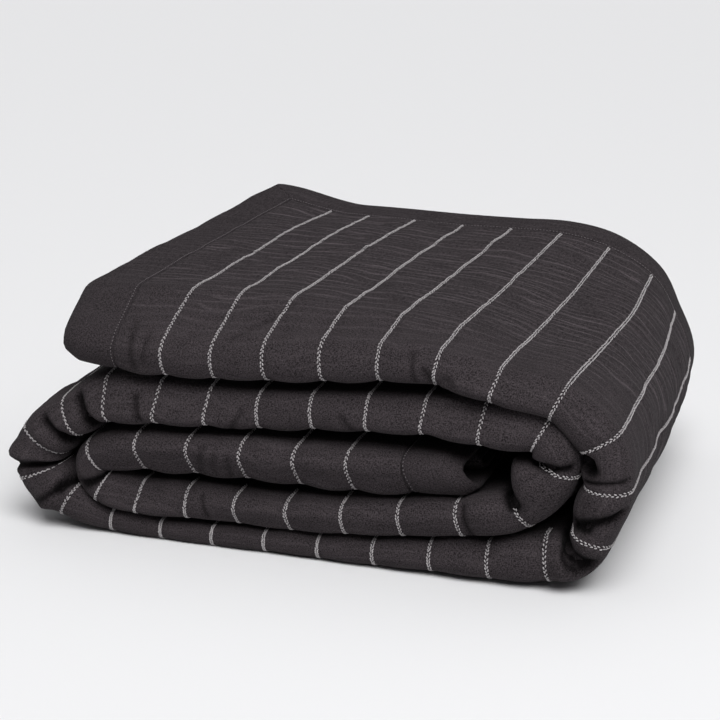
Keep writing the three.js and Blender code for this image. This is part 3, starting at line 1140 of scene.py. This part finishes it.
def fold_lines(group, place, lines):
    """Thin crests that run along the cloth, about a spacing apart, wandering and fading: 0 to 1."""
    split = separated(group, place)
    channel = math_node(group, "MULTIPLY", split["X"], math.pi / STRIPE_SPACING)
    arch = math_node(group, "ABSOLUTE", math_node(group, "SINE", channel, 0), 0)
    bent = math_node(group, "SUBTRACT", split["Y"], math_node(group, "MULTIPLY", arch, LINE_ARCH))
    turn = math_node(group, "MULTIPLY", bent, 2 * math.pi / lines.spacing)
    wander = stretched_noise(group, place, lines.along, lines.across, 2)
    drift = math_node(group, "MULTIPLY", wander, LINE_DRIFT)
    wave = math_node(group, "COSINE", math_node(group, "ADD", turn, drift), 0)
    crest = math_node(group, "POWER", math_node(group, "MAXIMUM", wave, 0), LINE_SHARPNESS)
    quick = stretched_noise(
        group, place, FADE_QUICKNESS * lines.along, FADE_QUICKNESS * lines.across, 1)
    return math_node(group, "MULTIPLY", crest, ranged(group, quick, FADE_LOW, FADE_HIGH, 0, 1))


def cloth_group():
    """Brushed cloth: its mottled colour, with painted highlights on its fold lines and painted shade in
    its creases, its roughness, and the heights of its weave and folds.
    """
    group, entry, leave = new_group(
        "brushed_cloth",
        [("Place", "NodeSocketVector", (0, 0, 0)), ("Colour", "NodeSocketColor", (*colours().cloth, 1)),
         ("Mottle", "NodeSocketFloat", 1), ("Crinkle", "NodeSocketFloat", 1),
         ("Crease shade", "NodeSocketFloat", 0)],
        [("Colour", "NodeSocketColor"), ("Roughness", "NodeSocketFloat"), ("Weave", "NodeSocketFloat"),
         ("Folds", "NodeSocketFloat")])
    place = entry.outputs["Place"]
    top = ranged(group, separated(group, place)["Y"], TOP_FADE_START, TOP_FADE_END, 1, FRONT_FOLD_SHARE)
    threads = [grain_noise(group, place, grain) for grain in THREADS]
    mottling = grain_noise(group, place, MOTTLING)
    fine = mixed(group, *zip(threads, [grain.weight for grain in THREADS]), (mottling, MOTTLING.weight))
    fine_middle = NOISE_MIDDLE * (sum(grain.weight for grain in THREADS) + MOTTLING.weight)
    broad = grain_noise(group, place, TOP_GRAIN)
    on_top = math_node(group, "MULTIPLY", top, math_node(group, "SUBTRACT", broad, NOISE_MIDDLE))
    grain = mixed(group, (math_node(group, "SUBTRACT", fine, fine_middle), 1),
                  (on_top, TOP_GRAIN.weight))
    lines = math_node(group, "MAXIMUM", fold_lines(group, place, CLOSE_LINES),
                      fold_lines(group, place, WIDE_LINES))
    strength = math_node(group, "MULTIPLY", top, entry.outputs["Crinkle"])
    folds = math_node(group, "MULTIPLY", lines, strength)
    # The fold lines' crests get a painted highlight in the colour, as well as their bump
    grain_and_highlight = mixed(group, (math_node(group, "MULTIPLY", grain, entry.outputs["Mottle"]), 1),
                    (folds, LINE_HIGHLIGHT), (strength, LINE_HIGHLIGHT_OFFSET))
    brightness = math_node(group, "MAXIMUM", math_node(group, "ADD", grain_and_highlight, 1), LEAST_BRIGHTNESS)
    # Painted shade: the colour is darkened where the cloth lies in a crease
    hidden = math_node(group, "MULTIPLY", entry.outputs["Crease shade"], CREASE_DARKNESS)
    brightness = math_node(group, "MULTIPLY", brightness, math_node(group, "SUBTRACT", 1, hidden))
    scaled = group.nodes.new("ShaderNodeVectorMath")
    scaled.operation = "SCALE"
    link(group, entry.outputs["Colour"], scaled.inputs[0])
    link(group, brightness, scaled.inputs["Scale"])
    weave = mixed(group, *[(thread, 1) for thread in threads])
    rough = math_node(group, "MULTIPLY", weave, WEAVE_ROUGHNESS)
    link(group, scaled.outputs[0], leave.inputs["Colour"])
    link(group, math_node(group, "ADD", rough, CLOTH_ROUGHNESS), leave.inputs["Roughness"])
    link(group, weave, leave.inputs["Weave"])
    link(group, folds, leave.inputs["Folds"])
    return group


def shaded(name, colour):
    material = bpy.data.materials.new(name)
    material.use_nodes = True
    shader = material.node_tree.nodes["Principled BSDF"]
    shader.inputs["Base Color"].default_value = (*colour, 1)
    material.diffuse_color = (*colour, 1)
    return material, material.node_tree, shader


def bumped(tree, bump, inputs):
    """The normal of a bump, from the inputs that give its height."""
    return new_node(tree, "ShaderNodeBump", {
        "Distance": bump.distance, "Strength": bump.strength, **inputs}).outputs["Normal"]


def cloth_material(name, colour, mottle, crinkle):
    material, tree, shader = shaded(name, colour)
    flat = tree.nodes.new("ShaderNodeUVMap")
    flat.uv_map = "flat"
    shade = tree.nodes.new("ShaderNodeAttribute")
    shade.attribute_name = "crease_shade"
    cloth = tree.nodes.new("ShaderNodeGroup")
    cloth.node_tree = bpy.data.node_groups.get("brushed_cloth") or cloth_group()
    cloth.inputs["Colour"].default_value = (*colour, 1)
    cloth.inputs["Mottle"].default_value = mottle
    cloth.inputs["Crinkle"].default_value = crinkle
    link(tree, flat.outputs["UV"], cloth.inputs["Place"])
    link(tree, shade.outputs["Fac"], cloth.inputs["Crease shade"])
    folds = bumped(tree, FOLD_BUMP, {"Height": cloth.outputs["Folds"]})
    weave = bumped(tree, WEAVE_BUMP, {"Height": cloth.outputs["Weave"], "Normal": folds})
    link(tree, cloth.outputs["Colour"], shader.inputs["Base Color"])
    link(tree, cloth.outputs["Roughness"], shader.inputs["Roughness"])
    link(tree, weave, shader.inputs["Normal"])
    shader.inputs["Specular IOR Level"].default_value = CLOTH_SPECULAR
    shader.inputs["Sheen Weight"].default_value = CLOTH_SHEEN
    shader.inputs["Sheen Roughness"].default_value = SHEEN_ROUGHNESS
    return material


def thread_material(name, colour):
    """Twisted thread: fine uneven shade over the stitches."""
    material, tree, shader = shaded(name, colour)
    place = tree.nodes.new("ShaderNodeTexCoord").outputs["Object"]
    twist = new_node(tree, "ShaderNodeTexNoise", {
        "Vector": place, "Scale": TWIST, "Detail": TWIST_DETAIL}).outputs["Fac"]
    ramp = new_node(tree, "ShaderNodeValToRGB", {"Fac": twist})
    stops = ramp.color_ramp.elements
    for stop, position, shade in zip(stops, (TWIST_DARK, TWIST_LIGHT), (TWIST_SHADE, 1)):
        stop.position = position
        stop.color = (*[shade * part for part in colour], 1)
    link(tree, ramp.outputs["Color"], shader.inputs["Base Color"])
    link(tree, bumped(tree, TWIST_BUMP, {"Height": twist}), shader.inputs["Normal"])
    shader.inputs["Roughness"].default_value = THREAD_ROUGHNESS
    shader.inputs["Sheen Weight"].default_value = THREAD_SHEEN
    return material


# Operators


class COVERLET_OT_panel(bpy.types.Operator):
    """Builds the quilted panel, folded and rolled"""
    bl_idname = "coverlet.panel"
    bl_label = "Quilted panel"

    def execute(self, context):
        material = cloth_material("brushed_quilted_cloth", colours().cloth, 1, 1)
        finish_cloth(build_panel(), "quilted_panel", material)
        return {"FINISHED"}


class COVERLET_OT_borders(bpy.types.Operator):
    """Builds the four plain borders round the panel"""
    bl_idname = "coverlet.borders"
    bl_label = "Borders"

    def execute(self, context):
        material = cloth_material(
            "plain_border_cloth", colours().border, BORDER_MOTTLE, BORDER_CRINKLE)
        for node, side, far in BORDERS:
            border = build_border(node + "_cloth", side, far)
            finish_cloth(border, node, material)
        return {"FINISHED"}


class COVERLET_OT_stripes(bpy.types.Operator):
    """Sews the light stripes where they show"""
    bl_idname = "coverlet.stripes"
    bl_label = "Stripe stitches"

    def execute(self, context):
        material = thread_material("pale_stripe_thread", colours().stripe)
        sew_stripes("stripe_stitches_front", FRONT_RUNS, material)
        sew_stripes("stripe_stitches_back", BACK_RUNS, material)
        return {"FINISHED"}


class COVERLET_OT_hems(bpy.types.Operator):
    """Sews the fine stitches along the borders"""
    bl_idname = "coverlet.hems"
    bl_label = "Hem stitches"

    def execute(self, context):
        material = thread_material("fine_hem_thread", colours().hem)
        far_line = CLOTH_LENGTH - HEM_LINE
        along = np.arange(HEM_LINE, far_line, sizes().hem_pitch)
        sew_hem("hem_stitches_side", along, np.full(len(along), HEM_LINE), False, material)
        across = np.arange(HEM_LINE, FRONT_END, sizes().hem_pitch)
        for name, line in (("hem_stitches_outer_end", HEM_LINE), ("hem_stitches_inner_end", far_line)):
            sew_hem(name, np.full(len(across), line), across, True, material)
        return {"FINISHED"}


class COVERLET_OT_stage(bpy.types.Operator):
    """Adds the pale floor, the soft lights and the camera"""
    bl_idname = "coverlet.stage"
    bl_label = "Floor, lights and camera"

    def execute(self, context):
        add_floor()
        add_lights()
        add_camera()
        return {"FINISHED"}


def add_floor():
    bpy.ops.mesh.primitive_plane_add(size=FLOOR_SIZE, location=(0, 0, 0))
    floor = bpy.context.active_object
    floor.name = "floor"
    material, _, shader = shaded("pale_floor", colours().floor)
    shader.inputs["Roughness"].default_value = FLOOR_ROUGHNESS
    shader.inputs["Specular IOR Level"].default_value = FLOOR_SPECULAR
    floor.data.materials.append(material)


def add_lamp(light, place, direction):
    """Stands a light in its place, shining from its direction."""
    lamp = bpy.data.objects.new(light.name, light)
    lamp.location = place
    lamp.rotation_euler = Vector(direction).to_track_quat("Z", "Y").to_euler()
    bpy.context.scene.collection.objects.link(lamp)


def add_room():
    """Even light from all round, and a paler look where the camera sees past the floor."""
    world = bpy.data.worlds.new("soft_room")
    world.use_nodes = True
    tree = world.node_tree
    light = tree.nodes["Background"]
    light.inputs["Color"].default_value = ROOM_COLOUR
    light.inputs["Strength"].default_value = ROOM_LIGHT
    seen = new_node(tree, "ShaderNodeBackground", {"Color": (*colours().floor, 1)})
    rays = tree.nodes.new("ShaderNodeLightPath")
    mix = new_node(tree, "ShaderNodeMixShader", {
        0: rays.outputs["Is Camera Ray"], 1: light.outputs[0], 2: seen.outputs[0]})
    link(tree, mix.outputs[0], tree.nodes["World Output"].inputs["Surface"])
    bpy.context.scene.world = world


def add_lights():
    add_room()
    bpy.context.scene.view_settings.view_transform = "Standard"
    for sun in SUNS:
        light = bpy.data.lights.new(sun.name, "SUN")
        light.angle = sun.spread
        light.energy = sun.power
        add_lamp(light, Vector(sun.direction) * SUN_DISTANCE, sun.direction)
    light = bpy.data.lights.new("front_light", "AREA")
    light.size = FRONT_LIGHT_SIZE
    light.energy = FRONT_LIGHT_POWER
    add_lamp(light, FRONT_LIGHT_PLACE, FRONT_LIGHT_DIRECTION)


def add_camera():
    camera = bpy.data.cameras.new("camera")
    camera.lens = CAMERA_LENS
    camera.sensor_width = CAMERA_SENSOR
    camera.clip_end = CAMERA_REACH
    holder = bpy.data.objects.new("camera", camera)
    holder.location = CAMERA_PLACE
    holder.rotation_euler = (math.pi / 2 - CAMERA_ELEVATION, 0, CAMERA_AZIMUTH)
    bpy.context.scene.collection.objects.link(holder)
    bpy.context.scene.camera = holder


class COVERLET_PT_sidebar(bpy.types.Panel):
    bl_label = "Coverlet"
    bl_idname = "COVERLET_PT_sidebar"
    bl_space_type = "VIEW_3D"
    bl_region_type = "UI"
    bl_category = "Coverlet"

    def draw(self, context):
        for group in (context.scene.coverlet_sizes, context.scene.coverlet_colours):
            for name in group.__annotations__:
                self.layout.prop(group, name)
        for operator in OPERATORS:
            self.layout.operator(operator.bl_idname)


OPERATORS = (COVERLET_OT_stage, COVERLET_OT_panel, COVERLET_OT_borders, COVERLET_OT_stripes,
             COVERLET_OT_hems)
CLASSES = (CoverletSizes, CoverletColours, *OPERATORS, COVERLET_PT_sidebar)


def register():
    for one in CLASSES:
        bpy.utils.register_class(one)
    bpy.types.Scene.coverlet_sizes = bpy.props.PointerProperty(type=CoverletSizes)
    bpy.types.Scene.coverlet_colours = bpy.props.PointerProperty(type=CoverletColours)


def unregister():
    del bpy.types.Scene.coverlet_sizes
    del bpy.types.Scene.coverlet_colours
    for one in reversed(CLASSES):
        bpy.utils.unregister_class(one)


def main():
    register()
    bpy.ops.coverlet.stage()
    bpy.ops.coverlet.panel()
    bpy.ops.coverlet.borders()
    bpy.ops.coverlet.stripes()
    bpy.ops.coverlet.hems()


if __name__ == "__main__":
    main()
